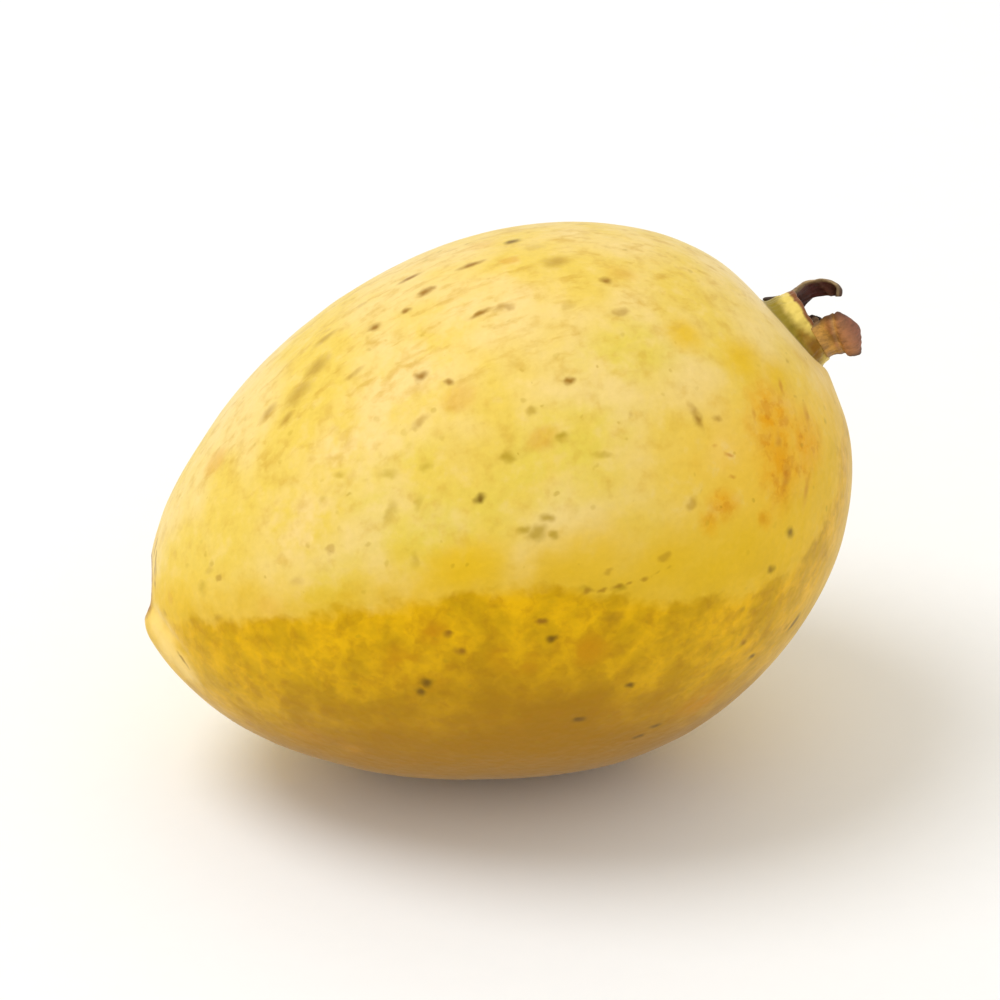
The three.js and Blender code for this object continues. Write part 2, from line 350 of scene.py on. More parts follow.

# Colours of the skin, as 0 to 255 values: the ground, the ripe end, the underside, the neck
# and the stalk end, and the marks. Those named with highlight or shade are partly painted light.
CREAM = (240, 212, 132)
YELLOW = (234, 204, 90)
SOFT_GREEN = (228, 206, 80)
PALE_PEACH_AND_HIGHLIGHT = (246, 216, 144)
TAN = (208, 166, 60)
GOLDEN_YELLOW = (232, 190, 30)
NEAR_CALYX = (244, 198, 58)
ORANGE = (236, 168, 10)
BURNT_ORANGE = (208, 132, 8)
GOLD = (238, 186, 0)
OLIVE = (200, 156, 0)
UMBER = (172, 118, 0)
# Partly painted shade: the deepest colour of the underside.
UNDERSIDE_AND_SHADE = (166, 118, 0)
BRUISE = (206, 142, 0)
NECK_YELLOW = (228, 206, 104)
NECK_GREEN_AND_CREASE_SHADE = (128, 112, 0)
OCHRE_AND_SEPAL_SHADE = (146, 102, 30)
RIM_BROWN = (132, 84, 54)
PALE_RIND_AND_HIGHLIGHT = (255, 222, 134)
CORK_EDGE = (150, 96, 50)
DARK_MARK = (112, 80, 6)
BROWN_MARK = (152, 104, 16)
OLIVE_MARK = (172, 140, 14)
RED_MARK = (190, 118, 30)
ORANGE_MARK = (214, 152, 34)
UNDER_FRONT_SEPAL = (-0.6, -3.4, -2.9)  # from the middle of the neck's foot
VIEW_SKEW = 0.034  # the front is looked at this much from the stalk's side
WOBBLE = (1.6, 0.6, 1.6)  # how far the edges of marks wander: along, in depth and across
CLOUD_SIZE = 15
MOTTLE_SIZE = 4.5
FLECK_SIZE = 2.2
PATCH_SIZE = 1.7
STREAK_SIZE = 1.5
GRAIN_DARK = (0.93, 0.93, 0.93, 1)
GRAIN_LIGHT = (1.05, 1.05, 1.05, 1)
GRAIN_SIZE = 0.7
DIMPLE_SIZE = 1.1
LUMP_SIZE = 2.6
SKIN_RELIEF = 0.09

# How high the gold of the underside reaches on the front: x along the fruit, and across.
# The gold is partly the riper colour of the underside and partly painted shade.
GOLD_EDGE = [
    (0, 2), (10, -1.4), (24.7, -5), (41, -8.4), (49.3, -12.8), (61.5, -16.5), (68, -16.2), (74, -12.5),
    (79, -5), (81.4, 0),
]
EDGE_LOWEST, EDGE_HIGHEST = -20, 10
EDGE_DROP = -0.7  # how the edge falls away behind the middle of the fruit
EDGE_RAGGED = 4.5


def paint(colour):
    """A 0 to 255 colour as the linear RGBA that shaders work in."""
    shares = [c / 255 for c in colour]
    return [s / 12.92 if s <= 0.04045 else ((s + 0.055) / 1.055) ** 2.4 for s in shares] + [1]


class Recipe:
    """Adds nodes to a node tree. Each method gives back an output for others to use."""

    def __init__(self, tree):
        self.tree = tree

    def node(self, kind, inputs, output=0, **settings):
        made = self.tree.nodes.new(kind)
        for name, value in settings.items():
            setattr(made, name, value)
        for socket, value in inputs.items():
            if isinstance(value, bpy.types.NodeSocket):
                self.tree.links.new(value, made.inputs[socket])
            else:
                made.inputs[socket].default_value = value
        return made.outputs[output]

    def own_place(self):
        """The shaded point in the fruit's own frame, in millimetres."""
        laid = self.node("ShaderNodeTexCoord", {}, "Object")
        laid = self.vector("MULTIPLY_ADD", laid, (1 / MM, 1 / MM, 1 / MM), tuple(-lift_and_shift))
        turn = (math.radians(-REST_ROLL), math.radians(-REST_TILT), 0)
        inputs = {"Vector": laid, "Rotation": turn}
        return self.node("ShaderNodeVectorRotate", inputs, rotation_type="EULER_XYZ", invert=True)

    def mark(self, name):
        """A named number that the mesh carries at its points."""
        return self.node("ShaderNodeAttribute", {}, "Fac", attribute_name=name)

    def parts(self, vector):
        split = self.node("ShaderNodeSeparateXYZ", {0: vector}).node
        return split.outputs[0], split.outputs[1], split.outputs[2]

    def number(self, operation, *values):
        return self.node("ShaderNodeMath", dict(enumerate(values)), operation=operation)

    def times(self, first, second):
        return self.number("MULTIPLY", first, second)

    def vector(self, operation, *values, **named):
        return self.node("ShaderNodeVectorMath", {**dict(enumerate(values)), **named}, operation=operation)

    def measure(self, operation, *values):
        return self.node("ShaderNodeVectorMath", dict(enumerate(values)), 1, operation=operation)

    def rise(self, value, low, high, top=1.0):
        """0 below `low`, `top` above `high`, with a smooth change between them."""
        inputs = {0: value, 1: low, 2: high, 3: 0.0, 4: top}
        return self.node("ShaderNodeMapRange", inputs, interpolation_type="SMOOTHSTEP")

    def fall(self, value, low, high, top=1.0):
        """`top` below `low`, 0 above `high`, with a smooth change between them."""
        inputs = {0: value, 1: low, 2: high, 3: top, 4: 0.0}
        return self.node("ShaderNodeMapRange", inputs, interpolation_type="SMOOTHSTEP")

    def noise(self, place, size, detail=2.0, roughness=0.5, output=0):
        inputs = {"Vector": place, "Scale": 1 / size, "Detail": detail, "Roughness": roughness}
        return self.node("ShaderNodeTexNoise", inputs, output)

    def mix(self, share, below, above, blend="MIX"):
        inputs = {0: share, 6: below, 7: above}
        return self.node("ShaderNodeMix", inputs, 2, data_type="RGBA", blend_type=blend)

    def bump(self, height, depth):
        return self.node("ShaderNodeBump", {"Height": height, "Distance": depth * MM, "Strength": 1.0})

    def group(self, tree, output=0, **inputs):
        return self.node("ShaderNodeGroup", inputs, output, node_tree=tree)


def shared_group(name, inputs, outputs):
    """An empty node group, its recipe, its input sockets and its output node."""
    tree = bpy.data.node_groups.new(name, "ShaderNodeTree")
    for label, kind in inputs.items():
        tree.interface.new_socket(label, in_out="INPUT", socket_type=kind)
    for label, kind in outputs.items():
        tree.interface.new_socket(label, in_out="OUTPUT", socket_type=kind)
    given = tree.nodes.new("NodeGroupInput").outputs
    out = tree.nodes.new("NodeGroupOutput").inputs
    return tree, Recipe(tree), given, out


def freckle_group():
    """Scattered specks, as a mask.

    `Size` is the distance between specks, `Radius` about the largest one's radius, `Share` how
    many show and `Stretch` how much longer they are lengthwise.
    """
    tree, r, given, out = shared_group(
        "freckles",
        {
            "Place": "NodeSocketVector", "Size": "NodeSocketFloat", "Radius": "NodeSocketFloat",
            "Share": "NodeSocketFloat", "Stretch": "NodeSocketFloat",
        },
        {"Mask": "NodeSocketFloat"},
    )
    stretch = r.node("ShaderNodeCombineXYZ", {0: given["Stretch"], 1: 1.0, 2: 1.0})
    spacing = r.vector("SCALE", (1, 1, 1), Scale=given["Size"])
    place = r.vector("DIVIDE", r.vector("DIVIDE", given["Place"], stretch), spacing)
    cells = r.node("ShaderNodeTexVoronoi", {"Vector": place, "Scale": 1.0}).node
    chance, size, strength = r.parts(cells.outputs["Color"])
    largest = r.number("DIVIDE", given["Radius"], given["Size"])
    radius = r.times(largest, r.number("ADD", size, 0.35))
    speck = r.fall(cells.outputs["Distance"], r.times(radius, 0.35), radius)
    shown = r.number("LESS_THAN", chance, given["Share"])
    strength = r.number("ADD", r.times(strength, 0.7), 0.3)
    tree.links.new(r.times(r.times(speck, shown), strength), out["Mask"])
    return tree


FRECKLES = freckle_group()


def new_material(name):
    """A material, the recipe for its nodes and the sockets of its shader."""
    material = bpy.data.materials.new(name)
    material.use_nodes = True
    return material, Recipe(material.node_tree), material.node_tree.nodes["Principled BSDF"].inputs


FRONT_SKIN = skin[skin[..., 1] < 0]


def on_front(x, across):
    """The point of the front skin at x along the fruit and `across` above its middle.

    Both are as seen from the front, a touch from the stalk's side. The outline's radius is
    corrected by how far the grown skin stands out or in near there.
    """
    nearest = FRONT_SKIN[np.hypot(FRONT_SKIN[:, 0] - x, FRONT_SKIN[:, 2] - across).argmin()]
    grown_by = np.hypot(nearest[1], nearest[2]) / np.interp(nearest[0], *OUTLINE.T)
    radius = np.interp(x, *OUTLINE.T) * grown_by
    depth = math.sqrt(max(radius**2 - across**2, 0.0))
    return (x - VIEW_SKEW * depth, -depth, across)


def edge_height(r, x):
    """The height of the gold's edge at x along the fruit."""
    made = r.node("ShaderNodeFloatCurve", {"Value": r.number("DIVIDE", x, FRUIT_LENGTH)}).node
    curve = made.mapping.curves[0]
    span = EDGE_HIGHEST - EDGE_LOWEST
    shares = [(along / FRUIT_LENGTH, (height - EDGE_LOWEST) / span) for along, height in GOLD_EDGE]
    for share in shares[1:-1]:
        curve.points.new(*share)
    curve.points[0].location = shares[0]
    curve.points[-1].location = shares[-1]
    made.mapping.update()
    return r.number("MULTIPLY_ADD", made.outputs["Value"], span, EDGE_LOWEST)


def spots(r, place, families, soft):
    """The joined mask of listed marks.

    A family is a turn in degrees from lengthwise, as seen from the front, a stretch along
    that turn, and its marks: x along the fruit, `across` above its middle, and radius.
    """
    nearest = None
    for turn, stretch, marks in families:
        angle = math.radians(turn)
        turned = place
        if turn:
            inputs = {"Vector": place, "Angle": angle}
            turned = r.node("ShaderNodeVectorRotate", inputs, rotation_type="Y_AXIS")
        turned = r.vector("DIVIDE", turned, (stretch, 1, 1))
        for x, across, radius in marks:
            centre = Matrix.Rotation(angle, 3, "Y") @ Vector(on_front(x, across))
            centre.x /= stretch
            reach = r.number("DIVIDE", r.measure("DISTANCE", turned, centre), radius)
            nearest = reach if nearest is None else r.number("MINIMUM", nearest, reach)
    return r.fall(nearest, 1 - soft, 1 + soft)


# Marks and patches of the front skin, in families as `spots` takes them.
DARK_MARKS = [
    (0, 1.2, [
        (39.6, 2.3, 0.5), (70.1, -12.6, 0.55), (67.0, -15.6, 0.5), (41.9, -14.9, 0.4), (27.1, -15.0, 0.7),
        (26.2, -15.9, 0.5), (48.3, -22.6, 0.42), (41.7, -24.4, 0.45), (62.1, -24.2, 0.45), (52.4, 28.0, 0.6),
    ]),
    (34, 2.4, [(67.9, -22.3, 0.45)]),
    (-20, 2.0, [(49.5, -28.0, 0.4), (47.3, -28.6, 0.4)]),
]
BROWN_MARKS = [
    (0, 1.2, [
        (37.9, 17.1, 0.55), (40.5, 15.3, 0.4), (34.9, 24.1, 0.55), (41.5, 25.9, 0.6), (38.7, 24.6, 0.45),
        (53.0, 11.0, 0.45), (31.8, -12.9, 0.5), (58.5, -28.4, 0.45), (61.6, -22.3, 0.35), (31.4, -10.8, 0.4),
        (41.4, -12.9, 0.4), (66.8, 1.8, 0.5), (60.6, 20.1, 0.5), (58.0, 5.4, 0.35),
    ]),
    (12, 3.0, [(47.0, 27.0, 0.45), (46.3, 21.4, 0.4), (40.2, 28.0, 0.4)]),
    (-80, 2.6, [(64.7, 2.7, 0.52)]),
]
SMUDGES = [
    (25, 1.6, [
        (27.1, 22.0, 1.0), (24.2, 19.9, 1.1), (20.3, 19.1, 0.7), (22.1, 17.8, 0.6), (56.0, 24.0, 1.0),
    ]),
    (12, 3.0, [(28.9, 24.7, 0.5), (30.6, 19.8, 0.4), (35.8, 12.4, 0.4)]),
]
OLIVE_MARKS = [
    (0, 1.3, [
        (44.2, -3.4, 0.75), (45.6, -2.2, 0.5), (43.0, -2.6, 0.5), (45.9, -4.3, 0.4), (44.0, 5.5, 0.5),
        (50.3, 5.5, 0.45), (50.7, -12.0, 0.5),
    ]),
]
FAINT_MARKS = [
    (0, 1.3, [(35.0, 7.6, 0.5), (6.9, 3.2, 0.6), (15.9, -5.7, 0.45), (23.0, 7.8, 0.45), (48.0, 9.2, 0.4)]),
    (-22, 2.6, [(53.6, 2.3, 0.4), (25.4, 10.0, 0.4), (30.7, 8.2, 0.45), (47.1, -11.0, 0.35)]),
    (60, 2.2, [(33.0, 4.0, 0.4), (29.7, 4.0, 0.6), (30.3, -2.0, 0.42)]),
]
RED_MARKS = [
    (-22, 4.5, [(66.2, -2.2, 0.26), (65.8, -4.4, 0.24), (64.9, -0.8, 0.2)]),
]
STREAKS = [
    (51, 3.6, [(71.4, -7.4, 0.55), (73.2, -9.4, 0.5)]),
    (62, 4.0, [(72.0, -3.6, 0.4), (76.2, -1.6, 0.4), (70.4, 0.4, 0.32), (74.6, 2.4, 0.34)]),
]
ORANGE_PATCHES = [
    (67, 1.4, [(72.6, -0.6, 3.1), (75.2, -4.6, 2.4), (71.8, -5.8, 2.8)]),
    (0, 1.1, [
        (64.1, -7.4, 1.5), (62.2, -8.5, 1.1), (68.1, -10.2, 1.0), (27.9, -7.1, 1.3), (39.0, -9.9, 1.5),
    ]),
]
GOLDEN_PATCHES = [
    (0, 1.8, [(48.5, -8.2, 3.6), (56.0, -11.0, 3.6), (35.0, -4.0, 2.4), (63.0, -12.5, 3.4)]),
    (0, 1.1, [(66.5, 11.6, 1.8), (71.8, 7.0, 2.5), (74.6, 4.2, 2.0)]),
]
BRUISES = [
    (-28, 1.5, [
        (26.2, -13.0, 2.2), (37.4, -16.0, 1.7), (45.0, -17.2, 1.9), (29.6, -9.8, 1.6), (55.4, -27.0, 2.2),
    ]),
]
# Pale blushes of the skin, partly painted highlight on the upper side and by the calyx.
PEACH_AND_HIGHLIGHT_PATCHES = [
    (0, 1.3, [
        (36.0, 16.8, 5.8), (28.0, 12.0, 4.6), (47.0, 22.0, 5.0), (20.0, 6.0, 4.4), (66.4, -2.0, 1.7),
    ]),
    (88, 3.6, [(79.0, -2.7, 1.1)]),
]
GREEN_CLOUDS = [
    (8, 1.8, [
        (34.0, 0.0, 4.6), (20.0, -2.0, 3.8), (50.0, 4.0, 4.2), (30.0, 8.0, 3.6), (60.0, 12.0, 3.6),
    ]),
]
# The pale lip: partly pale rind, partly painted highlight.
PALE_LIP_AND_HIGHLIGHT = [(-70, 1.6, [(0.5, 1.0, 1.7), (0.8, -1.4, 2.0), (1.7, -4.2, 1.6)])]
# Brown lines at the hollow's edge: partly cork, partly painted shade.
LIP_CORK_AND_SHADE_LINES = [
    (-72, 6.0, [(1.9, -3.4, 0.26)]),
    (66, 6.0, [(2.6, 7.4, 0.3), (3.4, 9.4, 0.25), (1.9, 5.4, 0.32)]),
]
DOTTED_LINE = [
    (0, 2.2, [
        (47.2, -11.3, 0.28), (48.8, -11.5, 0.2), (50.4, -11.7, 0.28), (51.9, -11.8, 0.18),
        (53.6, -11.9, 0.24), (54.9, -11.8, 0.17), (56.6, -11.6, 0.24),
    ]),
]

# What lies over the ground colours, in order: the marks, how strongly they show, their colour.
MARK_LAYERS = [
    (SMUDGES, 0.5, BROWN_MARK), (STREAKS, 0.6, RED_MARK), (FAINT_MARKS, 0.45, OLIVE_MARK),
    (OLIVE_MARKS, 0.7, OLIVE_MARK), (DOTTED_LINE, 0.6, BROWN_MARK), (RED_MARKS, 0.65, RED_MARK),
    (BROWN_MARKS, 0.9, BROWN_MARK), (DARK_MARKS, 0.9, DARK_MARK),
]
# Loose specks: distance between them, largest radius, share that shows, stretch, strength, colour.
SPECK_LAYERS = [
    (1.9, 0.4, 0.5, 1.0, 0.4, OLIVE_MARK), (4.4, 0.9, 0.45, 1.5, 0.55, BROWN_MARK),
    (9.0, 2.0, 0.5, 1.3, 0.5, ORANGE_MARK),
]


def from_seat(r, place, seat):
    """How far a point is out along a seat's axis, and how far it is beside that axis."""
    from_foot = r.vector("SUBTRACT", place, tuple(seat["foot"]))
    height = r.measure("DOT_PRODUCT", from_foot, tuple(seat["outward"]))
    beside = r.vector("SUBTRACT", from_foot, r.vector("SCALE", tuple(seat["outward"]), Scale=height))
    return height, r.measure("LENGTH", beside)


def skin_material():
    """The skin's material. `place` is the true place with a wobble, for edges that wander."""
    material, r, shader = new_material("guava_skin")
    true_place = r.own_place()
    wobble = r.vector("SUBTRACT", r.noise(true_place, FLECK_SIZE, 2, 0.6, 1), (0.5, 0.5, 0.5))
    place = r.vector("MULTIPLY_ADD", wobble, WOBBLE, true_place)
    x, y, across = r.parts(place)

    # Ground colour, with clouds of green, blushes of cream and a fine tan mottle. The blushes are
    # partly painted highlight: pale where the light falls on the upper side and on the calyx shoulder.
    clouds = r.noise(true_place, CLOUD_SIZE, 2, 0.55)
    mottle = r.noise(place, MOTTLE_SIZE, 3, 0.6)
    patchy = r.noise(place, PATCH_SIZE, 3, 0.6)
    flecks = r.noise(true_place, FLECK_SIZE, 3, 0.55)
    colour = r.mix(r.rise(clouds, 0.4, 0.62), paint(CREAM), paint(YELLOW))
    greens = r.times(spots(r, place, GREEN_CLOUDS, 0.8), r.rise(mottle, 0.3, 0.62, 0.8))
    colour = r.mix(greens, colour, paint(SOFT_GREEN))
    # Partly painted highlight.
    peach_and_highlight = r.times(spots(r, place, PEACH_AND_HIGHLIGHT_PATCHES, 0.7), r.rise(mottle, 0.34, 0.6, 0.8))
    colour = r.mix(peach_and_highlight, colour, paint(PALE_PEACH_AND_HIGHLIGHT))
    colour = r.mix(r.rise(flecks, 0.48, 0.8, 0.5), colour, paint(TAN))
    colour = r.mix(r.fall(flecks, 0.25, 0.5, 0.35), colour, paint(PALE_PEACH_AND_HIGHLIGHT))

    # Towards the calyx the skin ripens to a warm yellow with orange patches.
    ripe = r.times(r.rise(x, 50, 70, 0.85), r.fall(across, -4.0, 9.0))
    ripe = r.times(ripe, r.number("MAXIMUM", r.rise(flecks, 0.15, 0.45), 0.7))
    colour = r.mix(ripe, colour, paint(NEAR_CALYX))
    uneven = r.number("MAXIMUM", r.rise(flecks, 0.3, 0.6), 0.62)
    warm = r.times(spots(r, place, ORANGE_PATCHES, 0.8), uneven)
    colour = r.mix(warm, colour, paint(ORANGE))
    burnt = r.times(warm, r.rise(patchy, 0.46, 0.62, 0.7))
    colour = r.mix(burnt, colour, paint(BURNT_ORANGE))

    # The gold and olive underside, partly the fruit's riper colour and partly painted shade: its colour
    # deepens towards a fairly crisp upper edge, which runs down from the stalk end, turns up near the
    # calyx and fades at the back. That crisp edge is painted: it marks where the light's reflection ends.
    edge = r.number("MULTIPLY_ADD", r.number("MAXIMUM", y, 0.0), EDGE_DROP, edge_height(r, x))
    uneven_edge = r.number("MULTIPLY_ADD", r.number("SUBTRACT", mottle, 0.5), EDGE_RAGGED, edge)
    below = r.number("SUBTRACT", uneven_edge, across)
    depth = r.number("MULTIPLY_ADD", r.number("SUBTRACT", clouds, 0.5), 12.0, below)
    colour = r.mix(r.rise(depth, -8.0, 1.5, 0.75), colour, paint(GOLDEN_YELLOW))
    golden = r.times(spots(r, place, GOLDEN_PATCHES, 0.8), r.rise(mottle, 0.0, 0.5, 0.85))
    colour = r.mix(golden, colour, paint(GOLDEN_YELLOW))
    gold = r.mix(r.rise(mottle, 0.3, 0.68, 0.95), paint(GOLD), paint(OLIVE))
    # Painted shade: the underside darkens further towards the bottom.
    lowest = r.rise(r.number("MULTIPLY_ADD", clouds, 8.0, below), 7.0, 22.0)
    gold = r.mix(lowest, gold, paint(UNDERSIDE_AND_SHADE))
    gold = r.mix(r.rise(patchy, 0.4, 0.76, 0.45), gold, paint(UMBER))
    # The crisp mask, on the front only, is a painted edge where the light's reflection ends.
    crisp_shade_edge = r.times(r.rise(below, -0.6, 1.4), r.fall(y, -14.0, 2.0))
    soft = r.rise(below, -6.0, 14.0)
    colour = r.mix(r.number("MAXIMUM", crisp_shade_edge, soft), colour, gold)
    bruised = r.times(spots(r, place, BRUISES, 0.8), r.rise(mottle, 0.38, 0.6, 0.7))
    colour = r.mix(bruised, colour, paint(BRUISE))

    # Streaks on the upper side, loose specks, and the marks.
    lengthwise = r.vector("MULTIPLY", place, (0.3, 1.0, 1.0))
    streaks = r.rise(r.noise(lengthwise, STREAK_SIZE, 3, 0.58), 0.5, 0.76, 0.6)
    streaks = r.times(streaks, r.rise(across, 2.0, 20.0))
    colour = r.mix(streaks, colour, paint(TAN))
    for size, radius, share, stretch, strength, tint in SPECK_LAYERS:
        specks = r.group(FRECKLES, Place=place, Size=size, Radius=radius, Share=share, Stretch=stretch)
        colour = r.mix(r.times(specks, strength), colour, paint(tint))
    for marks, strength, tint in MARK_LAYERS:
        shown = r.times(spots(r, place, marks, 0.8), strength)
        colour = r.mix(shown, colour, paint(tint))

    # The neck: light yellow, olive green in the crease at its foot (partly painted shade), ochre below
    # the front sepal (partly painted shade), and brown on the rim and in the cup.
    height, beside = from_seat(r, true_place, calyx)
    this_end = r.rise(height, -4.0, -3.0)
    near_neck = r.times(r.fall(beside, 5.2, 6.2), this_end)
    on_neck = r.times(near_neck, r.rise(height, 0.2, 1.2))
    colour = r.mix(r.times(on_neck, 0.85), colour, paint(NECK_YELLOW))
    # Painted shade in the crease at the neck's foot, over a greener skin there.
    crease_shade = r.fall(r.number("MULTIPLY_ADD", flecks, 2.2, height), 1.4, 2.6, 0.9)
    crease_shade = r.times(crease_shade, r.fall(beside, 5.0, 5.9, this_end))
    colour = r.mix(crease_shade, colour, paint(NECK_GREEN_AND_CREASE_SHADE))
    # Painted shade under the front sepal, darkening the ochre of the neck there.
    under_front = r.measure("DISTANCE", true_place, tuple(calyx["foot"] + UNDER_FRONT_SEPAL))
    ochre_and_sepal_shade = r.fall(r.number("MULTIPLY_ADD", flecks, 2.5, under_front), 3.4, 5.6)
    ochre_and_sepal_shade = r.times(r.times(ochre_and_sepal_shade, near_neck), r.rise(height, 0.0, 1.2))
    colour = r.mix(ochre_and_sepal_shade, colour, paint(OCHRE_AND_SEPAL_SHADE))
    rim = r.rise(r.number("MULTIPLY_ADD", flecks, 1.2, height), 2.7, 3.1)
    cup_wall = r.times(r.fall(beside, 3.6, 4.0), r.rise(height, -0.5, 0.0))
    browned = r.times(r.number("MAXIMUM", rim, cup_wall), near_neck)
    colour = r.mix(browned, colour, paint(RIM_BROWN))

    # The stalk end: a pale lip, partly painted highlight, with a brown line in it and more along the
    # hollow's upper edge, partly cork and partly painted shade, and a corky edge round the hollow.
    # Partly painted highlight on the pale lip.
    pale_lip_and_highlight = r.times(spots(r, place, PALE_LIP_AND_HIGHLIGHT, 0.7), 0.75)
    colour = r.mix(pale_lip_and_highlight, colour, paint(PALE_RIND_AND_HIGHLIGHT))
    # Partly painted shade along the hollow's edges.
    lip_cork_and_shade_line = r.times(spots(r, place, LIP_CORK_AND_SHADE_LINES, 0.6), 0.7)
    colour = r.mix(lip_cork_and_shade_line, colour, paint(BROWN_MARK))
    beside_stalk = from_seat(r, place, stalk)[1]
    cork = r.times(r.fall(beside_stalk, 3.2, 4.4), r.fall(x, 6.0, 8.0))
    colour = r.mix(r.times(cork, r.rise(flecks, 0.25, 0.5)), colour, paint(CORK_EDGE))

    # A fine grain, a soft waxy gloss and shallow dimples.
    grain = r.mix(r.noise(true_place, GRAIN_SIZE, 2, 0.6), GRAIN_DARK, GRAIN_LIGHT)
    r.tree.links.new(r.mix(1.0, colour, grain, "MULTIPLY"), shader["Base Color"])
    r.tree.links.new(r.number("MULTIPLY_ADD", mottle, 0.2, 0.34), shader["Roughness"])
    dimples = r.node("ShaderNodeTexVoronoi", {"Vector": true_place, "Scale": 1 / DIMPLE_SIZE})
    lumps = r.noise(true_place, LUMP_SIZE, 2, 0.55)
    relief = r.number("MULTIPLY_ADD", lumps, 1.2, r.times(dimples, 0.35))
    r.tree.links.new(r.bump(relief, SKIN_RELIEF), shader["Normal"])
    shader["Specular IOR Level"].default_value = 0.16
    shader["Specular Tint"].default_value = (1.0, 0.88, 0.5, 1)
    shader["Sheen Weight"].default_value = 0.25
    shader["Sheen Roughness"].default_value = 0.35
    shader["Sheen Tint"].default_value = (1.0, 0.95, 0.8, 1)
    return material


fruit.data.materials.append(skin_material())
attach(fruit, "root")
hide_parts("fruit")


# The flower remains --------------------------------------------------------------------
# What is left of the flower in the cup of the neck: a dried disc with a ring of withered
# stamens round the stub of the style. They dried where they grew, on the floor of the cup.

DISC = [
    (0.25, 1.5), (0.8, 1.45), (1.2, 1.3), (1.9, 1.45), (2.5, 1.75), (2.85, 1.5), (3.0, 1.1), (2.8, 0.8),
    (1.0, 0.75),
]
DISC_SIDES, DISC_ROWS = 96, 26
DISC_LUMPS = 0.22
STYLE = [(0, 0, 1.2), (0.05, 0.02, 2.0), (-0.1, 0.1, 2.9), (-0.35, 0.15, 3.6)]  # across, across, height
STYLE_RADII = (0.546, 0.42, 0.483)
STAMENS = 34
STAMEN_RADII = (0.11, 0.077, 0.198)
STAMEN_LEAN = (-0.5, 0.35)  # inwards and outwards
STAMEN_SWAY = 0.5
STAMEN_FEET = (1.5, 2.5)  # nearest to the middle, and furthest
STAMEN_FOOT_HEIGHT = 1.35
STAMEN_TOPS = (1.9, 2.45)

random.seed(7)
calyx_front, calyx_side = ring_directions(calyx["outward"])


def in_cup(points):
    """Turns (across, across, height) points of the calyx into the fruit's frame."""
    axes = np.stack([calyx_front, calyx_side, calyx["outward"]])
    return calyx["foot"] + np.asarray(points, float) @ axes


def tube(line, radii, sides, count):
    """Rings of a round-ended tube along a smooth line; the radii are spread evenly along it."""
    line = through(line, count)
    share = np.linspace(0, 1, count)
    radius = np.interp(share, np.linspace(0, 1, len(radii)), radii)
    radius = radius * np.minimum(1, np.sqrt(np.clip((1 - share) * count / 2, 0.02, 1)))
    heading = unit(np.gradient(line, axis=0))
    first = unit(np.cross(heading, unit(np.array([0.3, 0.9, 0.2]))))
    second = np.cross(heading, first)
    turn = np.linspace(0, 2 * math.pi, sides, endpoint=False)
    spokes = np.cos(turn)[:, None, None] * first + np.sin(turn)[:, None, None] * second
    return (line + spokes * radius[:, None]).transpose(1, 0, 2)


def disc_rings():
    """Rings of the dried disc, from its middle over its raised edge to its underside."""
    turn = np.linspace(0, 2 * math.pi, DISC_SIDES, endpoint=False)
    radius, height = np.hsplit(through(DISC, DISC_ROWS), 2)
    rings = np.stack([radius * np.cos(turn), radius * np.sin(turn), height * np.ones_like(turn)], -1)
    lumps = rough(rings, 0.7, 3.0).reshape(rings.shape[:2])
    rings[..., 2] += DISC_LUMPS * lumps * np.clip(rings[..., 2] - 0.9, 0, 1)
    return in_cup(rings)


def stamen():
    """One withered stamen, bent its own way, with the swelling of its anther at the tip."""
    turn = random.uniform(0, 2 * math.pi)
    foot = random.uniform(*STAMEN_FEET)
    lean = random.uniform(*STAMEN_LEAN)
    sway = random.uniform(-STAMEN_SWAY, STAMEN_SWAY)
    length = random.uniform(*STAMEN_TOPS) - STAMEN_FOOT_HEIGHT
    line = []
    for share in (0, 0.4, 0.75, 1):
        out = foot + lean * share * share
        angle = turn + sway * share * share / foot
        height = STAMEN_FOOT_HEIGHT + length * share
        line.append((out * math.cos(angle), out * math.sin(angle), height))
    return in_cup(tube(line, STAMEN_RADII, sides=8, count=9))


style = in_cup(tube(STYLE, STYLE_RADII, sides=20, count=16))
stamens = [stamen() for _ in range(STAMENS)]
remains = lofted("flower_remains_dried", [disc_rings(), style] + stamens)


def dry_fibre_group():
    """Streaks and specks of dried plant matter: a light to dark value and a height."""
    tree, r, given, out = shared_group(
        "dry_fibre",
        {"Place": "NodeSocketVector", "Size": "NodeSocketFloat"},
        {"Shade": "NodeSocketFloat", "Height": "NodeSocketFloat"},
    )
    place = r.vector("DIVIDE", given["Place"], r.vector("SCALE", (1, 1, 1), Scale=given["Size"]))
    lengthwise = r.vector("MULTIPLY", place, (0.35, 1.0, 1.0))
    streaks = r.noise(lengthwise, 0.5, 4, 0.65)
    patches = r.noise(place, 1.6, 3, 0.55)
    grain = r.noise(place, 0.22, 2, 0.6)
    shade = r.number("MULTIPLY_ADD", streaks, 0.5, r.times(patches, 0.5))
    tree.links.new(r.rise(shade, 0.36, 0.64), out["Shade"])
    tree.links.new(r.number("MULTIPLY_ADD", grain, 0.3, streaks), out["Height"])
    return tree


DRY_FIBRE = dry_fibre_group()


def dried_material(name, dark, light, grain, relief, roughness):
    """Dried plant matter between two colours; grain and relief are in millimetres."""
    material, r, shader = new_material(name)
    place = r.own_place()
    shade = r.group(DRY_FIBRE, "Shade", Place=place, Size=grain)
    colour = r.mix(shade, paint(dark), paint(light))
    r.tree.links.new(colour, shader["Base Color"])
    r.tree.links.new(r.number("MULTIPLY_ADD", shade, 0.15, roughness - 0.1), shader["Roughness"])
    height = r.group(DRY_FIBRE, "Height", Place=place, Size=grain)
    r.tree.links.new(r.bump(height, relief), shader["Normal"])
    return material


